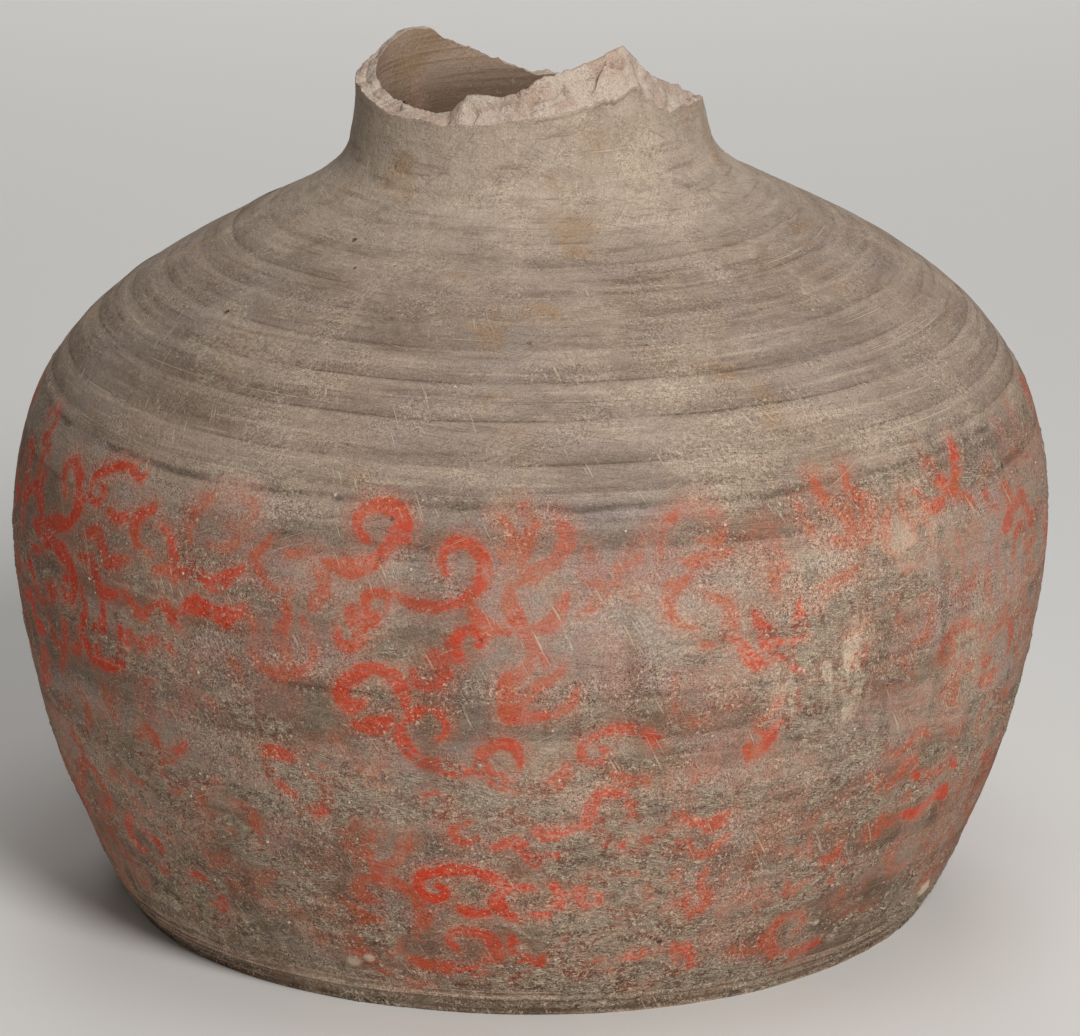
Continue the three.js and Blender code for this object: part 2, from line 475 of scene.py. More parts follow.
def courseSkin(lower, upper, turn):
    # the outer skin of a course and the joint above it
    outer = evenSteps(lower + jar["seam"], upper - jar["seam"], jar["rowStep"])
    rows = skinRows(outer, turn)
    creases = [0, len(rows) - 1]
    rows += jointRows(outer[-1], jar["lapRows"])
    creases.append(len(rows))
    return outer, rows, creases


def ringCourse(name, lower, upper, turn):
    outer, rows, creases = courseSkin(lower, upper, turn)
    rows += insideRows(outer[-1] + jar["lap"], outer[0] + jar["lap"], jar["innerStep"])
    creases.append(len(rows) - 1)
    rows += jointRows(outer[0], jar["lapRows"][::-1])
    return dressShell(name, rows, creases, turn)


def footCourse(name, lower, upper, turn):
    # stands level on the slab; its toe is smoothed down to the floor
    outer, rows, creases = courseSkin(lower, upper, turn)
    rows += insideRows(outer[-1] + jar["lap"], arcAt(jar["toeTop"]), jar["innerStep"])
    floor, tip = float(rows[0][1].min()), jar["toeTip"]
    rows += [(r, z, arcAt(z), 0, 0) for r, z in (*jar["toe"], (tip + 0.2, floor + 0.3))]
    creases.append(len(rows))
    rows += [(tip + (rows[0][0] - tip) * share, floor, lower, 0, 0) for share in (0, 0.5, 0.95)]
    return dressShell(name, rows, creases, turn)


def baseSlab(name, upper, turn):
    outer = evenSteps(0.35, upper - jar["seam"], jar["rowStep"])
    rings = enumerate(skinRows(outer, turn))
    side = [(r, np.maximum(z, 0.04 + 0.3 * i), *rest) for i, (r, z, *rest) in rings]
    rim = side[0][0]
    rows = [(rim * share, 0.0, rim * (share - 1), 1, 0) for share in jar["underside"]]
    creases = [len(rows) + len(side) - 1]
    rows += side
    rim, top = side[-1][:2]
    rows += [(rim * share, top, upper, 0, 0) for share in jar["slabTop"]]
    rows.append((0.0, float(top.mean()), upper, 0, 0))
    return dressShell(name, rows, creases, turn, poles=True)


# What is left of the neck

neckBreak = {
    "columns": 720,
    "from": 222.0,         # height above which the rows follow the broken edge
    "rowStep": 1.1,
    "edgeRows": 21,        # from there up to the edge outside, and down again inside
    "insideRows": 16,
    "innerStep": 1.9,
    "radius": 49,          # of the neck near its edge
    "height": 240,
    # angle, height of the edge at the outer skin, height at the inner skin
    "edge": [(-180, 229.8, 230.8), (-168, 233.4, 234.4), (-156, 238, 239), (-145, 241.4, 242.4),
             (-138, 244.5, 245.6), (-129, 245.8, 247.2), (-121, 243.3, 246.4), (-113, 240.7, 245.2),
             (-100, 239.3, 243.2), (-88, 239.1, 241.6), (-75, 238.6, 240.2), (-63, 236.9, 238.2),
             (-50, 235.1, 236.8), (-38, 235.3, 236.2), (-30, 234.7, 237.6), (-24, 234.9, 243),
             (-11, 236, 243), (-2, 237, 244.7), (5, 238.2, 249), (17, 240.2, 250.1),
             (28, 242, 253.8), (37, 243.9, 255), (42, 242.2, 252), (47, 237.4, 248.4),
             (54, 235.6, 244.6), (66, 235.2, 241.6), (76, 234.7, 239), (87, 233, 231.8),
             (100, 231.2, 230.8), (120, 229.8, 230.3), (150, 228.8, 229.6), (168, 228.8, 229.6),
             (180, 229.8, 230.8)],
    "across": 32,          # steps over the broken face
    "facet": 5.5,          # size of its broken planes
    "facetTilt": 0.2,
    "facetJump": 0.3,
    "nibbled": 0.34,       # small nicks along the edges
    "undercut": 1.5,       # lip left under the front of the break, between two angles
    "lip": (2, 62),
    # cracks along the face: first and last angle, share of the way across, depth
    "cracks": [(-24, 12, 0.66, 0.8), (12, 44, 0.74, 0.6), (-8, 30, 0.3, 0.4), (-120, -60, 0.5, 0.5),
               (46, 84, 0.55, 0.5)],
}


def wander(seeds, first, last, turn):
    # a closed wandering line made of ever shorter and weaker waves
    waves = np.arange(first, last)
    strength = (first / waves) ** 0.9
    phase = seeds.uniform(0, 2 * np.pi, len(waves))
    line = strength[:, None] * np.sin(waves[:, None] * turn["angle"] + phase[:, None])
    return line.sum(0) / np.linalg.norm(strength)


def brokenPlanes(seeds, along, across, length):
    # the break is a patchwork of planes, each with its own tilt
    size = neckBreak["facet"]
    count = int(length * 18 / size ** 2)
    centres = np.column_stack([seeds.uniform(0, length, count), seeds.uniform(-2, 16, count)])
    tilts = seeds.normal(0, neckBreak["facetTilt"], (count, 2))
    jumps = seeds.normal(0, neckBreak["facetJump"], count)
    total, weights = np.zeros_like(along), np.zeros_like(along)
    for (x, y), (tiltX, tiltY), jump in zip(centres, tilts, jumps):
        dx = (along - x + length / 2) % length - length / 2
        dy = across - y
        weight = np.exp(-9 * (dx * dx + dy * dy) / size ** 2) + 1e-12
        total += weight * (jump + tiltX * dx + tiltY * dy)
        weights += weight
    return total / weights


def between(turn, first, last):
    # 1 from the first angle to the last, fading out on both sides
    away = np.abs(turnFrom(turn["degrees"], (first + last) / 2))
    return 1 / (1 + np.exp(away - (last - first) / 2))


def brokenFace(turn):
    # radius and height of rows across the break, from the outer skin to the inner one, and its slope
    table = np.array(neckBreak["edge"], float)
    seeds = np.random.default_rng(42)
    outer = np.interp(turn["degrees"], table[:, 0], table[:, 1])
    inner = np.interp(turn["degrees"], table[:, 0], table[:, 2])
    thick = jar["wallAtBreak"] + 0.3 * wander(seeds, 3, 12, turn)
    rise = inner - outer
    share = np.linspace(0, 1, neckBreak["across"] + 1)[:, None]
    drift = handDrift(np.array([arcAt(neckBreak["height"])]), turn)[0]
    skin = atHeight(outer, "r") + drift
    run = np.hypot(thick, rise)
    along = np.broadcast_to(turn["angle"] * neckBreak["radius"], (len(share), len(outer)))
    planes = brokenPlanes(seeds, along, share * run, 2 * np.pi * neckBreak["radius"])
    nicks = [wander(seeds, 20, 160, turn) * np.clip(0.5 + 0.7 * wander(seeds, 2, 12, turn), 0.1, 1.6)
             for edge in ("outer", "inner")]
    nibbles = neckBreak["nibbled"] * (nicks[0] * (1 - share) + nicks[1] * share)
    inside = np.sin(np.pi * np.clip(share, 0.04, 0.96)) ** 0.5
    height = outer + rise * share + planes * np.sqrt(run / thick) * inside + nibbles
    for first, last, place, depth in neckBreak["cracks"]:
        line = place + 0.05 * wander(seeds, 4, 30, turn)
        dent = bell((share - line) * run, 0.5) * depth
        drop = 0.7 * depth / (1 + np.exp((share - line) * run / 0.25)) * share
        height -= (dent + drop) * between(turn, first, last)
    radius = skin - thick * share + 0 * height
    return radius, height, (rise / run, thick / run)


def neckCollar(name, lower, turn):
    bottom, start = lower + jar["seam"], arcAt(neckBreak["from"])
    rows = skinRows(evenSteps(bottom, start, neckBreak["rowStep"]), turn)
    low = rows[-1]
    faceR, faceZ, faceOut = brokenFace(turn)
    drift = handDrift(np.array([start]), turn)[0]
    lip = between(turn, *neckBreak["lip"]) * neckBreak["undercut"]
    lip = lip * np.clip(0.6 + 0.5 * wander(np.random.default_rng(8), 3, 30, turn), 0.15, 1.2)
    steps = neckBreak["edgeRows"]
    for i in range(1, steps + 1):
        share = 1 - (1 - i / steps) ** 1.5
        z = low[1] + (faceZ[0] - low[1]) * share
        r = atHeight(z, "r") + drift * (1 - share)
        r += (faceR[0] - atHeight(faceZ[0], "r")) * share
        r -= lip * bell(faceZ[0] - z - 1.7, 0.8)
        rows.append((r, z, atHeight(z, "arc"), 1 if i < steps else 0.6, 0))
    creases = [0, len(rows) - 1]
    slope = {}
    outerArc = rows[-1][2]
    for r, z in zip(faceR[1:-1], faceZ[1:-1]):
        slope[len(rows)] = faceOut
        rows.append((r, z, outerArc, 0, 1))
    creases.append(len(rows))
    turnIn = arcAt(neckBreak["from"] - 2)
    rIn, zIn = onWall(turnIn, 1)
    for i in range(neckBreak["insideRows"]):
        share = 1 - i / neckBreak["insideRows"]
        z = zIn + (faceZ[-1] - zIn) * share
        r = rIn + (faceR[-1] - rIn) * share ** 0.5
        rows.append((r, z, atHeight(z, "arc"), 0, 0))
    rows += insideRows(turnIn, bottom + jar["lap"], neckBreak["innerStep"])
    creases.append(len(rows) - 1)
    rows += jointRows(bottom, jar["lapRows"][::-1])
    return dressShell(name, rows, creases, turn, slope=slope)


# Node trees: sockets that add, multiply and mix like numbers

class Wire:
    def __init__(self, tree, socket=None):
        self.tree = tree
        self.socket = socket

    def node(self, kind, settings=None, links=None, out=0):
        # the settings come first, then what each input gets: a value or another wire
        made = self.tree.nodes.new(kind)
        for key, value in (settings or {}).items():
            if key == "stops":
                setStops(made.color_ramp, value)
            else:
                setattr(made, key, value)
        for key, value in (links or {}).items():
            if isinstance(value, Wire):
                self.tree.links.new(value.socket, made.inputs[key])
            else:
                made.inputs[key].default_value = value
        return Wire(self.tree, made.outputs[out])

    def other(self, out):
        # another output of the same node
        return Wire(self.tree, self.socket.node.outputs[out])

    def maths(self, operation, a, b=0.0):
        return self.node("ShaderNodeMath", {"operation": operation}, {0: a, 1: b})

    def __add__(self, value):
        return self.maths("ADD", self, value)

    def __radd__(self, value):
        return self.maths("ADD", value, self)

    def __sub__(self, value):
        return self.maths("SUBTRACT", self, value)

    def __rsub__(self, value):
        return self.maths("SUBTRACT", value, self)

    def __mul__(self, value):
        return self.maths("MULTIPLY", self, value)

    def __rmul__(self, value):
        return self.maths("MULTIPLY", value, self)

    def least(self, value):
        return self.maths("MINIMUM", self, value)

    def most(self, value):
        return self.maths("MAXIMUM", self, value)

    def vector(self, operation, socket, value):
        return self.node("ShaderNodeVectorMath", {"operation": operation}, {0: self, socket: value})

    def stretch(self, x, y, z):
        return self.vector("MULTIPLY", 1, (x, y, z))

    def shift(self, x, y, z):
        return self.vector("ADD", 1, (x, y, z))

    def scaled(self, amount):
        return self.vector("SCALE", "Scale", amount)

    def part(self, axis):
        return self.node("ShaderNodeSeparateXYZ", None, {0: self}, axis)

    def ramp(self, low, high):
        # 0 below low, 1 above high, smooth between them
        limits = {0: self, 1: low, 2: high, 3: 0.0, 4: 1.0}
        return self.node("ShaderNodeMapRange", {"interpolation_type": "SMOOTHSTEP"}, limits)

    def fall(self, low, high):
        return 1 - self.ramp(low, high)

    def noise(self, size, detail=2.0, rough=0.5, twist=0.0, out=0):
        # size is the width of a blotch in the vector's own units
        values = {"Vector": self, "Scale": 1 / size, "Detail": detail, "Roughness": rough}
        return self.node("ShaderNodeTexNoise", None, {**values, "Distortion": twist}, out)

    def cells(self, size, out=0, randomness=1.0):
        values = {"Vector": self, "Scale": 1 / size, "Randomness": randomness}
        return self.node("ShaderNodeTexVoronoi", None, values, out)

    def attribute(self, name, vector=False):
        if self.tree.bl_idname == "ShaderNodeTree":
            return self.node("ShaderNodeAttribute", {"attribute_name": name}, out=1 if vector else 2)
        kind = "FLOAT_VECTOR" if vector else "FLOAT"
        return self.node("GeometryNodeInputNamedAttribute", {"data_type": kind}, {"Name": name})


def setStops(ramp, stops):
    while len(ramp.elements) < len(stops):
        ramp.elements.new(1.0)
    for element, (place, grey) in zip(ramp.elements, stops):
        element.position = place
        element.color = (grey, grey, grey, 1)


def mixed(amount, under, over, blend="MIX"):
    settings = {"data_type": "RGBA", "blend_type": blend}
    source = next(w for w in (amount, under, over) if isinstance(w, Wire))
    return source.node("ShaderNodeMix", settings, {0: amount, 6: under, 7: over}, 2)


def tone(red, green, blue):
    # a colour as a paint chart gives it, 0 to 255, made linear
    linear = [((c / 255 + 0.055) / 1.055) ** 2.4 if c > 10 else c / 255 / 12.92 for c in (red, green, blue)]
    return (*linear, 1.0)


def openTree(name, inputs):
    # a geometry node tree with named inputs, and the wire that holds them
    tree = bpy.data.node_groups.new(name, "GeometryNodeTree")
    for label, kind in inputs.items():
        tree.interface.new_socket(label, in_out="INPUT", socket_type="NodeSocket" + kind)
    tree.interface.new_socket("Result", in_out="OUTPUT", socket_type="NodeSocketGeometry")
    start = Wire(tree)
    return tree, start, start.node("NodeGroupInput")


def closeTree(tree, geometry, material):
    real = geometry.node("GeometryNodeRealizeInstances", None, {0: geometry})
    dressed = real.node("GeometryNodeSetMaterial", None, {"Geometry": real, "Material": material})
    tree.links.new(dressed.socket, tree.nodes.new("NodeGroupOutput").inputs[0])


def addObject(name, data):
    made = bpy.data.objects.new(name, data)
    bpy.context.scene.collection.objects.link(made)
    return made


def bakeTree(name, mesh, tree, values):
    # runs a node tree on a mesh and keeps the result as a plain mesh at the origin
    piece = addObject(name, mesh)
    modifier = piece.modifiers.new("nodes", "NODES")
    modifier.node_group = tree
    for socket in tree.interface.items_tree:
        if socket.in_out == "INPUT" and socket.name in values:
            modifier[socket.identifier] = values[socket.name]
    graph = bpy.context.evaluated_depsgraph_get()
    result = bpy.data.meshes.new_from_object(piece.evaluated_get(graph))
    piece.modifiers.remove(modifier)
    piece.data = result
    return piece


def openFinish(name):
    material = bpy.data.materials.new(name)
    material.use_nodes = True
    material.node_tree.nodes.clear()
    return material, Wire(material.node_tree)


def closeFinish(tree, colour, roughness, bump):
    shader = colour.node("ShaderNodeBsdfPrincipled", None, {
        "Base Color": colour, "Roughness": roughness, "Specular IOR Level": 0.2,
        "Normal": colour.node("ShaderNodeBump", None, bump)})
    tree.links.new(shader.socket, tree.nodes.new("ShaderNodeOutputMaterial").inputs["Surface"])


# What relief and colour both ask about a point of the wall

marks = {  # widths in millimetres
    "sand": 0.42,
    "crustPatch": 42,
    "crustCrumb": 1.6,
    "crustPowder": 0.6,
    "roughPatch": 26,
    "pitCell": 12,
    "chipCell": 3.8,       # chips in the broken face
    "flakeCell": 6.5,      # pale specks on the wall
}


class Spot:
    def __init__(self, start, place):
        self.place = place
        self.rolled = start.attribute("rolled", True)
        self.arc = self.rolled.part(2)
        self.outside = start.attribute("outside")
        self.broken = start.attribute("broken")
        self.silt = start.attribute("silt")
        self.smooth = start.attribute("smooth")
        self.grains = {}

    def above(self, low, high):
        # 0 below one height of the wall, 1 above another
        return self.arc.ramp(arcAt(low) * mm, arcAt(high) * mm)

    def below(self, low, high):
        return 1 - self.above(low, high)

    def drawn(self, across, along, detail, rough=0.5, twist=0.0):
        # blotches drawn out round the wall: how many of them to a metre across and up
        return self.rolled.stretch(across, across, along).noise(1.0, detail, rough, twist)

    def grain(self, size):
        # round blotches of a size in millimetres
        if size not in self.grains:
            self.grains[size] = self.place.shift(size, 0, 0).noise(size * mm, 3.0, 0.65)
        return self.grains[size]

    def pick(self, size):
        # a random number for each cell
        return self.place.cells(size, out=1).part(0)

    @cached_property
    def sand(self):
        return self.place.noise(marks["sand"] * mm, 1.0, 0.5)

    @cached_property
    def crust(self):
        # burial crust gathers in ragged patches, wider than high, mostly low on the wall
        patches = self.rolled.stretch(1, 1, 2.2).noise(marks["crustPatch"] * mm, 4.0, 0.62, 0.5)
        low = self.below(50, 158)
        settled = low * 0.07 - 0.035 + self.silt.most(0.0) * 0.11 - self.smooth * 0.05
        ragged = (patches + (self.grain(8) - 0.5) * 0.5 + settled).ramp(0.54, 0.62)
        return ragged * (1 - self.above(150, 162) * 0.8)

    @cached_property
    def crumbs(self):
        torn = self.place.stretch(1, 1, 1.3).noise(marks["crustCrumb"] * mm, 3.0, 0.7)
        powder = self.place.shift(1, 7, 7).noise(marks["crustPowder"] * mm, 2.0, 0.7)
        return (torn * 0.5 + powder * 0.5).ramp(0.46, 0.58)

    @cached_property
    def rugged(self):
        # patches where the skin is open and rough
        torn = self.rolled.stretch(1, 1, 1.6).shift(4, 1, 6)
        patches = torn.noise(marks["roughPatch"] * mm, 5.0, 0.66, 0.3)
        low = self.below(40, 156)
        return (patches + low * 0.04 - self.smooth * 0.08).ramp(0.46, 0.58)

    @cached_property
    def pits(self):
        size = marks["pitCell"] * mm
        return self.place.cells(size).fall(0.035, 0.085) * self.pick(size).ramp(0.84, 0.87)


relief = {"Lump depth": 0.5, "Wheel depth": 0.22, "Crust depth": 0.34, "Pit depth": 0.5, "Break depth": 0.34}


def reliefTree():
    # presses lumps, wheel marks, crust, pits and chips into a shell, along its lift
    inputs = {"Shell": "Geometry", "Clay": "Material", **{label: "Float" for label in relief}}
    tree, start, given = openTree("clayRelief", inputs)
    depth = {label: given.other(label) for label in relief}
    spot = Spot(start, start.node("GeometryNodeInputPosition"))
    low = spot.below(60, 165)
    lumps = spot.place.noise(0.05, 2.5) - 0.5
    dents = spot.place.noise(0.014, 2.0) - 0.5
    wheel = spot.drawn(7, 150, 1.5, 0.45) - 0.5
    fineWheel = spot.drawn(9, 430, 1.0) - 0.5
    skin = (
        depth["Lump depth"] * (0.5 + low) * (lumps * 1.6 + dents * 0.6)
        + depth["Wheel depth"] * (wheel * 1.8 + fineWheel * 0.9)
        + depth["Crust depth"] * spot.crust * spot.crumbs
        - depth["Pit depth"] * spot.pits
    )
    chips = spot.place.cells(marks["chipCell"] * mm, randomness=0.9) - 0.35
    tooth = spot.place.noise(0.0022, 3.0, 0.65) - 0.5
    face = depth["Break depth"] * (0.5 - chips + tooth * 2.2) * (0.35 + spot.grain(8).ramp(0.42, 0.56))
    height = (spot.outside * skin + spot.broken * face) * mm
    offset = start.attribute("lift", True).scaled(height)
    moved = start.node("GeometryNodeSetPosition", None, {"Geometry": given, "Offset": offset})
    closeTree(tree, moved, given.other("Clay"))
    return tree


# Fired clay with its stains, crust, scratches and red paint, as one finish for the whole wall

clayTones = {
    "grey": tone(152, 133, 120),
    "warm": tone(169, 144, 125),
    "violet": tone(160, 146, 141),
    "slip": tone(175, 155, 137),
    "neck": tone(194, 176, 158),
    "band": tone(116, 98, 85),
    "umber": tone(108, 84, 66),
    "olive": tone(98, 82, 65),
    "ochre": tone(166, 128, 88),
    "crust": tone(218, 197, 171),
    "speck": tone(222, 208, 188),
    "grit": tone(66, 53, 43),
    "pink": tone(186, 150, 131),
    "fracture": tone(202, 184, 167),
    "innerLit": tone(190, 163, 141),
    "innerDark": tone(124, 103, 84),
    "cinnabar": tone(208, 56, 21),
    "rust": tone(188, 83, 43),
    "rose": tone(196, 114, 90),
}


def layered(colour, *coats):
    # lays tones over a colour, each through its own mask
    for mask, name in coats:
        colour = mixed(mask, colour, clayTones[name])
    return colour


def clayGround(spot):
    low, foot = spot.below(25, 150), spot.below(8, 92)
    shoulder, neck = spot.above(153, 158), spot.above(194, 214)
    worn = 1 - 0.6 * spot.smooth
    blotch = spot.rolled.stretch(1, 1, 3.2).noise(0.045, 5.0, 0.62, 0.35)
    smaller = spot.rolled.stretch(1, 1, 3.4).shift(2, 5, 1).noise(0.021, 5.0, 0.65, 0.2)
    cool = spot.place.shift(1, 9, 4).noise(0.036, 3.0, 0.6).ramp(0.47, 0.62) * (0.6 - 0.25 * shoulder)
    ochre = spot.place.shift(7, 2, 5).noise(0.028, 3.0, 0.62).ramp(0.56, 0.70)
    bits = spot.rolled.stretch(1, 1, 1.3).shift(5, 8, 2).noise(0.0085, 4.0, 0.72, 0.6)
    bits = bits + (spot.sand - 0.5) * 0.3
    scaly = foot * (0.3 + 0.7 * spot.place.shift(6, 3, 8).noise(0.03, 3.0, 0.6).ramp(0.42, 0.56))
    stainAndShade = (bits - 0.5) * 1.4 - spot.silt
    ground = mixed(spot.grain(85).ramp(0.40, 0.60), clayTones["grey"], clayTones["warm"])
    return layered(
        ground,
        (shoulder * 0.5, "slip"),
        (neck * 0.85, "neck"),
        (blotch.ramp(0.44, 0.60) * (0.14 + 0.7 * low) * worn, "olive"),
        (smaller.ramp(0.48, 0.64) * (0.25 + 0.4 * low) * worn, "umber"),
        (cool.most(spot.smooth * 0.6) * (1 - neck), "violet"),
        (ochre * (0.3 + 0.25 * shoulder), "ochre"),
        ((1 - spot.crust) * bits.fall(0.50, 0.62) * foot * 0.5, "umber"),
        (bits.fall(0.36, 0.46) * (0.08 + 0.6 * foot), "olive"),
        (bits.ramp(0.53, 0.62) * (0.05 + 0.75 * scaly) * worn, "crust"),
        # olive stains where the silt values are below 0; these also paint shade on the lower right and along
        # both rims
        (stainAndShade.ramp(0.0, 1.3) * 0.72, "olive"),
    )


def wheelBands(spot, ground, streaks):
    # each pass of the wheel left a groove, with a thin painted shadow line just above it; the band above that
    # is dark at first and pales upwards, partly the clay's own banding, partly painted shade and light on the
    # turned steps
    low, high = arcAt(152), arcAt(219)
    stops = [(0.0, 0.35)]
    for height in jar["grooves"]:
        place = (arcAt(height) - low) / (high - low)
        stops += [(place - 0.006, 0.1), (place, 0.85)]
    stops.append((1.0, 0.3))
    wobble = (spot.drawn(10, 12, 2.0) - 0.5) * 0.005
    along = (spot.arc + wobble - low * mm) * (1 / ((high - low) * mm))
    bands = along.node("ShaderNodeValToRGB", {"stops": stops}, {0: along})
    patchy = spot.rolled.stretch(1, 1, 1.5).shift(3, 3, 3).noise(0.06, 3.0, 0.6).ramp(0.34, 0.56)
    shoulder = spot.above(153, 157)
    mask = bands + (streaks - 0.5) * 1.5 + (spot.grain(8) - 0.5) * 0.6
    depth = 0.46 - 0.28 * spot.above(196, 212)
    # a thin painted shadow line just above each groove, broken along its length
    grooveShadow = bands.ramp(0.79, 0.84) * spot.drawn(22, 60, 2.0).ramp(0.44, 0.58)
    return layered(
        ground,
        # the dark band over each groove and the pale strip under it are partly the clay's own banding and
        # partly painted shade and light
        (mask.ramp(0.30, 0.86) * patchy * shoulder * depth, "band"),
        (mask.fall(0.10, 0.40) * shoulder * 0.45, "slip"),
        (grooveShadow * shoulder * spot.below(200, 206) * 0.5, "grit"),
        (streaks.ramp(0.55, 0.68) * 0.42, "umber"),
        (streaks.fall(0.30, 0.44) * 0.28, "crust"),
    )


def smudges(spot, ground):
    # smoky bands on the painted wall, dark lines along its joints, the top one partly a painted shadow under
    # the shoulder step, and pale ridges at the base
    low, wall = spot.below(60, 158), spot.below(150, 156)
    smudge = spot.drawn(9, 75, 4.0, 0.62, 0.5)
    sweeps = spot.rolled.stretch(3.2, 3.2, 62).shift(2, 7, 0.4).noise(1.0, 2.5, 0.5, 0.15)
    ground = layered(
        ground,
        (smudge.ramp(0.54, 0.66) * (0.2 + 0.5 * low), "olive"),
        (sweeps.ramp(0.51, 0.56) * wall * 0.55, "olive"),
        (sweeps.fall(0.41, 0.47) * wall * 0.36, "slip"),
    )
    # the line at 152.8 mm, just under the shoulder step, is partly the step's painted shadow
    for height in jar["darkLines"]:
        away = spot.arc + (spot.grain(24) - 0.5) * 0.005 - arcAt(height) * mm
        near = away.maths("ABSOLUTE", away).fall(0.0003, 0.0016)
        ground = layered(ground, (near * spot.grain(24).ramp(0.42, 0.58) * 0.65, "grit"))
    base = spot.below(6, 17)
    ridges = spot.drawn(6, 640, 2.0, 0.6)
    return layered(
        ground,
        (ridges.ramp(0.48, 0.60) * base * 0.75, "pink"),
        (ridges.ramp(0.58, 0.66) * base * 0.7, "crust"),
        (ridges.fall(0.40, 0.50) * base * 0.7, "umber"),
    )


def dusted(spot, colour):
    # pale powdery film in drifts, drips that ran down the wall, and smears where silt lies thick
    drifts = spot.rolled.stretch(1, 1, 1.4).shift(8, 3, 3).noise(0.034, 5.0, 0.68, 0.3)
    fuzz = spot.place.stretch(1, 1, 1.3).noise(0.0012, 3.0, 0.75)
    film = (drifts + spot.silt * 0.08).ramp(0.47, 0.64)
    drips = spot.drawn(70, 9, 3.0, 0.6, 0.3)
    lower = spot.below(110, 158)
    smears = spot.rolled.stretch(230, 230, 60).shift(1, 4, 2).noise(1.0, 3.0, 0.6)
    smears = smears + (spot.grain(3.2) - 0.5) * 0.3
    thick = spot.silt.ramp(0.3, 1.0) * spot.above(66, 84)
    return layered(
        colour,
        (film * fuzz.ramp(0.38, 0.66) * 0.5, "crust"),
        (drips.ramp(0.54, 0.66) * lower * 0.42, "umber"),
        (drips.fall(0.34, 0.44) * lower * 0.32, "slip"),
        (smears.ramp(0.50, 0.58) * thick * 0.75, "crust"),
    )


def speckled(spot, colour, amount, covered=0.0):
    # the sandy grain of the clay, with pale flecks and dark pinholes where the skin is rough
    strength = (0.55 + 0.45 * spot.rugged) * (1 - 0.4 * covered) * amount
    colour = mixed(strength * 0.72, colour, (spot.sand - 0.5) * 2.0 + 0.5, "OVERLAY")
    colour = mixed(strength * spot.rugged * 0.6, colour, spot.grain(1), "OVERLAY")
    flecks = spot.place.shift(2, 2, 9).noise(0.0009, 1.0, 0.5)
    scattered = (0.25 + 0.75 * spot.rugged) * amount
    return layered(
        colour,
        (flecks.ramp(0.63, 0.70) * scattered * 0.7, "crust"),
        (flecks.fall(0.30, 0.37) * scattered * 0.6, "grit"),
    )


def brushPaint(spot, ground):
    # the brush's own edge, roughened, and worn through to the clay
    ink = spot.place.attribute("ink")
    fresh = spot.place.attribute("fresh")
    kept = fresh.least(1.0)
    rag = ((spot.grain(3.2) - 0.5) * 3.6 + (spot.grain(1) - 0.5) * 0.9) * (1.25 - 0.6 * kept)
    stroke = (ink + rag).fall(-0.7, 0.5)
    chunks = spot.place.shift(3, 3, 7).noise(0.010, 3.0, 0.6)
    worn = fresh + (chunks - 0.5) * 2.0 + (spot.grain(3.2) - 0.5) * 1.0 + (spot.grain(1) - 0.5) * 0.4
    covering = (0.42 + 0.52 * kept) * (1 - 0.45 * spot.crust * spot.crumbs)
    paint = stroke * worn.ramp(0.08, 0.42) * covering
    wash = (ink + rag * 1.5).fall(-1.5, 5.5) * (0.34 + fresh * 0.5) * (0.3 + spot.grain(8))
    wear = fresh + (spot.grain(24) - 0.5) * 1.8 + (spot.grain(3.2) - 0.5) * 0.8
    redTone = mixed(wear.ramp(0.20, 0.85), clayTones["rust"], clayTones["cinnabar"])
    return mixed(paint, layered(ground, (wash.least(0.6), "rose")), redTone), paint


def slanted(spot, twist, wide, length, low=0.64):
    # straight hair scratches: the wall's own circle is turned with height, so they lean all one way
    turned = spot.place.node("ShaderNodeVectorRotate", {"rotation_type": "Z_AXIS"}, {
        "Vector": spot.rolled, "Angle": spot.arc * twist + twist})
    across, along = 1000 / wide, 1000 / length
    return turned.stretch(across, across, along).noise(1.0, 1.0, 0.6).ramp(low, low + 0.05)


def scratched(spot, colour):
    around = spot.drawn(9, 1500, 2.0, 0.6)
    torn = spot.drawn(40, 120, 3.0, 0.6).ramp(0.50, 0.58)
    rounds = around.ramp(0.59, 0.66) * torn * (0.3 + 0.7 * spot.above(153, 157))
    patches = spot.place.shift(5, 5, 5).noise(0.018, 3.0, 0.6)
    steep = slanted(spot, 3.5, 0.7, 9) * patches.ramp(0.47, 0.60)
    leaning = slanted(spot, -15, 0.6, 7) * patches.fall(0.42, 0.54)
    shallow = slanted(spot, 42, 0.8, 5) * spot.grain(24).ramp(0.44, 0.56)
    lines = rounds.most(steep).most(leaning).most(shallow)
    return layered(colour, (lines * (0.24 + 0.5 * spot.grain(3.2)), "crust")), lines


def crusted(spot, colour):
    flakes = slanted(spot, 26, 0.55, 1.6, 0.55).most(slanted(spot, -34, 0.5, 1.8, 0.56))
    flakes = flakes * spot.grain(3.2).ramp(0.40, 0.52) * (0.14 + spot.crust).least(1.0)
    foot = spot.below(12, 90)
    size = marks["flakeCell"] * mm
    specks = spot.place.cells(size).fall(0.04, 0.085) * spot.pick(size).ramp(0.78, 0.80)
    return layered(
        colour,
        (spot.crust * (1 - spot.crumbs) * (0.38 + 0.24 * foot), "grit"),
        ((spot.crust * spot.crumbs * (0.52 + 0.38 * foot)).most(flakes * 0.85), "crust"),
        (specks * 0.85, "speck"),
        (spot.pits * 0.8, "grit"),
        (spot.place.attribute("lumpy").ramp(0.25, 0.8) * 0.8, "crust"),
    )


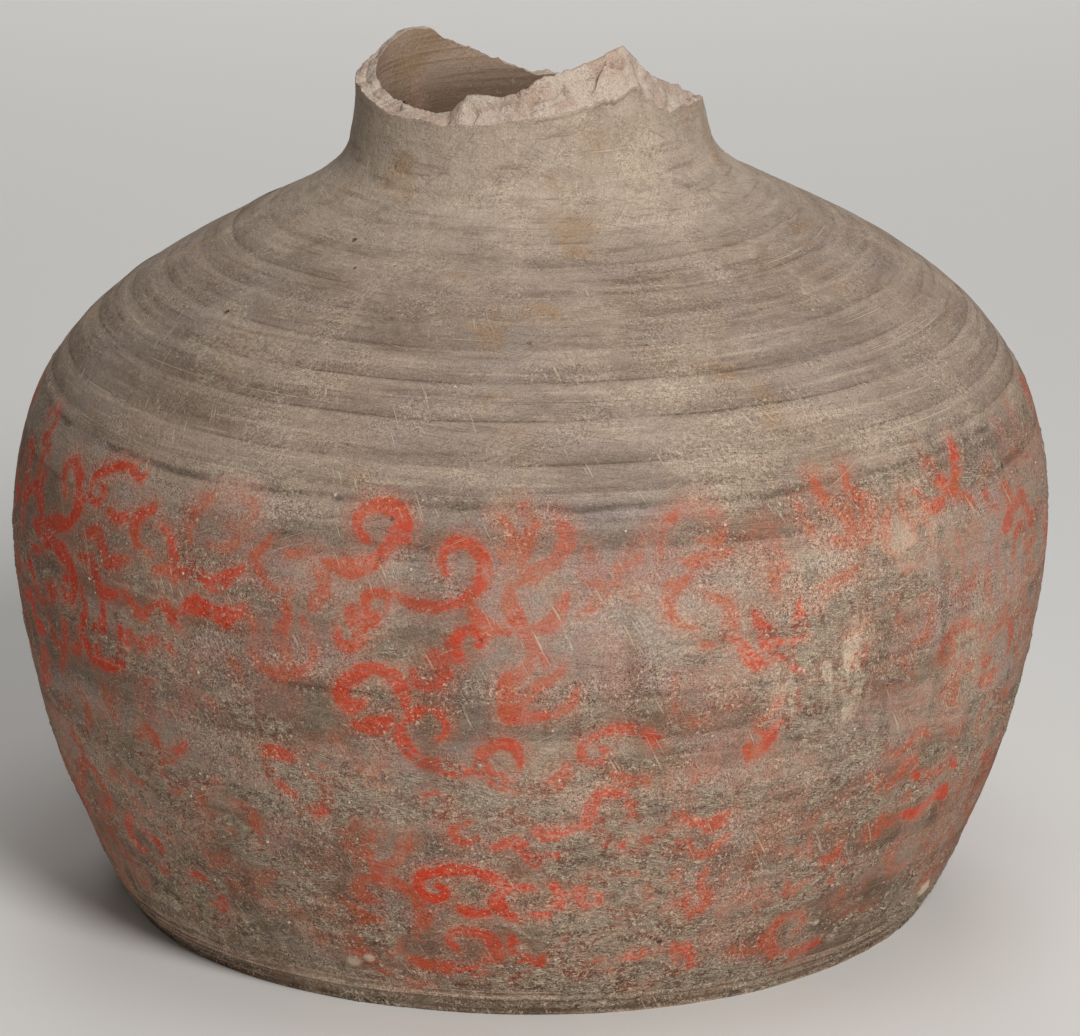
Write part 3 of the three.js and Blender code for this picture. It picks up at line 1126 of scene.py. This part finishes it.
def insideClay(spot, lines):
    # the inside is painted darker deeper down and paler near the broken mouth, as shade where little light
    # gets in, with random patches
    depth = spot.above(222, 240) * (0.45 + spot.grain(24))
    inner = layered(
        mixed(depth, clayTones["innerDark"], clayTones["innerLit"]),
        (spot.grain(24).ramp(0.52, 0.64) * 0.5, "pink"),
        (spot.place.shift(2, 4, 4).noise(0.03, 3.0).ramp(0.55, 0.68) * 0.5, "ochre"),
        (lines.ramp(0.52, 0.66) * 0.35, "umber"),
    )
    return speckled(spot, inner, 0.35)


def brokenClay(spot):
    deep = spot.place.noise(0.0028, 4.0, 0.7).ramp(0.34, 0.46)
    face = layered(
        mixed(spot.grain(8).ramp(0.44, 0.62) * 0.5, clayTones["fracture"], clayTones["pink"]),
        (spot.place.shift(6, 6, 1).noise(0.012, 3.0).ramp(0.54, 0.66) * 0.45, "slip"),
        ((1 - deep) * 0.4, "innerDark"),
    )
    return speckled(spot, face, 0.5)


def clayFinish(name):
    material, start = openFinish(name)
    spot = Spot(start, start.node("ShaderNodeTexCoord", out=3))
    streaks = spot.drawn(16, 330, 4.0, 0.72)
    ground = smudges(spot, wheelBands(spot, clayGround(spot), streaks))
    painted, paint = brushPaint(spot, ground)
    sandy = 1 - 0.3 * spot.above(146, 160) - 0.2 * spot.above(190, 212)
    colour, lines = scratched(spot, speckled(spot, dusted(spot, painted), sandy, paint))
    throwing = spot.drawn(6, 640, 3.0, 0.6)
    colour = mixed(spot.outside, insideClay(spot, throwing), crusted(spot, colour))
    colour = mixed(spot.broken, colour, brokenClay(spot))
    height = (
        0.45 * spot.grain(1.4)
        + 0.3 * spot.grain(3.2)
        + 0.7 * spot.crust * spot.crumbs
        + 0.3 * (throwing - 0.5) * (1 - spot.outside) * (1 - spot.broken)
        + (0.35 * streaks - 0.25 * lines) * spot.outside
        + 0.8 * spot.place.noise(0.0012, 3.0, 0.65) * spot.broken
        - 0.9 * spot.pits
        + 0.06 * paint
    )
    roughness = 0.94 - 0.12 * paint - 0.08 * streaks
    bump = {"Strength": 0.8, "Distance": 0.0009, "Height": height}
    closeFinish(material.node_tree, colour, roughness, bump)
    return material


# Grit: mineral grains and crumbs of crust stuck to the wall

grit = {"Density": 42000.0, "Grain": 0.5, "Seed": 11}


def gritTree(material):
    inputs = {"Wall": "Geometry", "Density": "Float", "Grain": "Float", "Seed": "Int"}
    tree, start, given = openTree("wallGrit", inputs)
    spot = Spot(start, start.node("GeometryNodeInputPosition"))
    points = start.node("GeometryNodeDistributePointsOnFaces", None, {
        "Mesh": given, "Seed": given.other("Seed"),
        "Density": given.other("Density") * spot.outside * (0.06 + spot.crust)})
    grain = start.node("GeometryNodeMeshIcoSphere", None, {"Radius": 0.001, "Subdivisions": 1})
    dents = spot.place.noise(0.0012, 1.0, out=1).shift(-0.5, -0.5, -0.5).scaled(0.0012)
    dented = start.node("GeometryNodeSetPosition", None, {"Geometry": grain, "Offset": dents})
    tumble = start.node("FunctionNodeRandomValue", {"data_type": "FLOAT_VECTOR"}, {
        0: (0.0, 0.0, 0.0), 1: (0.5, 0.5, 6.28), "Seed": 5})
    turned = start.node("FunctionNodeRotateRotation", {"rotation_space": "LOCAL"}, {
        0: points.other("Rotation"), 1: tumble})
    chance = start.node("FunctionNodeRandomValue", {"data_type": "FLOAT"}, {2: 0.25, 3: 1.0, "Seed": 7}, 1)
    width = given.other("Grain") * (chance * chance + 0.25)
    size = start.node("ShaderNodeCombineXYZ", None, {0: width, 1: width * 0.8, 2: width * 0.5})
    spread = start.node("GeometryNodeInstanceOnPoints", None, {
        "Points": points, "Instance": dented, "Rotation": turned, "Scale": size})
    closeTree(tree, spread, material)
    return tree


def gritFinish():
    material, start = openFinish("gritFinish")
    place = start.node("ShaderNodeTexCoord", out=3)
    colour = mixed(place.noise(0.012, 3.0).ramp(0.4, 0.6), clayTones["crust"], clayTones["warm"])
    colour = layered(colour, (place.noise(0.0008, 2.0).fall(0.35, 0.5) * 0.5, "umber"))
    bump = {"Strength": 0.5, "Distance": 0.0004, "Height": place.noise(0.0006, 2.0)}
    closeFinish(material.node_tree, colour, 0.95, bump)
    return material


# The pieces

order = list(courses)
jointArcs = [arcAt(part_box(node)[0].z / mm) for node in order]  # each outer skin starts at its lowest point
clay = clayFinish("firedClay")
wallTurn, neckTurn = around(jar["columns"]), around(neckBreak["columns"])
shells = {
    "base_slab": baseSlab("base_slab_shell", jointArcs[0], wallTurn),
    "foot_course": footCourse("foot_course_shell", jointArcs[0], jointArcs[1], wallTurn),
}
for node, lower, upper in zip(order[1:], jointArcs[1:], jointArcs[2:]):
    shells[node] = ringCourse(node + "_shell", lower, upper, wallTurn)
shells["neck_collar"] = neckCollar("neck_collar_shell", jointArcs[-1], neckTurn)
print("shells traced,", sum(len(mesh.polygons) for mesh in shells.values()), "faces")

surface = reliefTree()
pieces = {}
for node, mesh in shells.items():
    piece = bakeTree(node + "_clay", mesh, surface, {**relief, "Clay": clay})
    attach(piece, "root")
    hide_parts(node)
    pieces[node] = piece
print("relief pressed into", len(pieces), "pieces")

gritNodes = gritTree(gritFinish())
for node in ("foot_course", "lower_wall_course", "middle_wall_course", "belly_course"):
    crumbs = bakeTree(node + "_grit", pieces[node].data.copy(), gritNodes, grit)
    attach(crumbs, "root")
print("grit scattered")


# Floor, light and camera

studio = {
    "floor": tone(236, 234, 230),
    "reach": 9.0,
    "camera": (0.0, -1700.0, 615.0),
    "pitch": 16.6,
    "lens": 203.7,
    "shift": 9 / 1080,
    "sky": 0.11,
    # place, size, power and aim of each soft disc, in metres and watts
    "lights": {
        "keyLight": ((0.66, -1.55, 1.3), 0.7, 28, (0, 0, 0.12)),
        "topLight": ((0.1, -0.1, 1.8), 0.9, 4.6, (0, 0, 0.12)),
        "floorLight": ((0, 2.6, 1.5), 1.6, 26, (0, 2.4, 0)),
    },
}


def layFloor():
    material = bpy.data.materials.new("paleFloor")
    material.use_nodes = True
    shader = material.node_tree.nodes["Principled BSDF"]
    shader.inputs["Base Color"].default_value = studio["floor"]
    shader.inputs["Roughness"].default_value = 0.8
    mesh = bpy.data.meshes.new("floor")
    corners = [(x * studio["reach"], y * studio["reach"], 0) for x, y in ((-1, -1), (1, -1), (1, 1), (-1, 1))]
    mesh.from_pydata(corners, [], [(0, 1, 2, 3)])
    mesh.materials.append(material)
    floor = addObject("floor", mesh)


layFloor()
for name, (place, size, power, aim) in studio["lights"].items():
    lamp = bpy.data.lights.new(name, "AREA")
    lamp.shape = "DISK"
    lamp.size = size
    lamp.energy = power
    holder = addObject(name, lamp)
    holder.location = place
    away = holder.location - type(holder.location)(aim)
    holder.rotation_euler = away.to_track_quat("Z", "Y").to_euler()
world = bpy.data.worlds.new("studio")
world.use_nodes = True
world.node_tree.nodes["Background"].inputs["Color"].default_value = (1, 1, 1, 1)
world.node_tree.nodes["Background"].inputs["Strength"].default_value = studio["sky"]
bpy.context.scene.world = world
bpy.context.scene.view_settings.view_transform = "Standard"

camera = bpy.data.cameras.new("camera")
camera.lens = studio["lens"]
camera.sensor_width = 36
camera.shift_x = studio["shift"]
holder = addObject("camera", camera)
holder.location = [value * mm for value in studio["camera"]]
holder.rotation_euler = (math.radians(90 - studio["pitch"]), 0, 0)
bpy.context.scene.camera = holder
print("studio set")
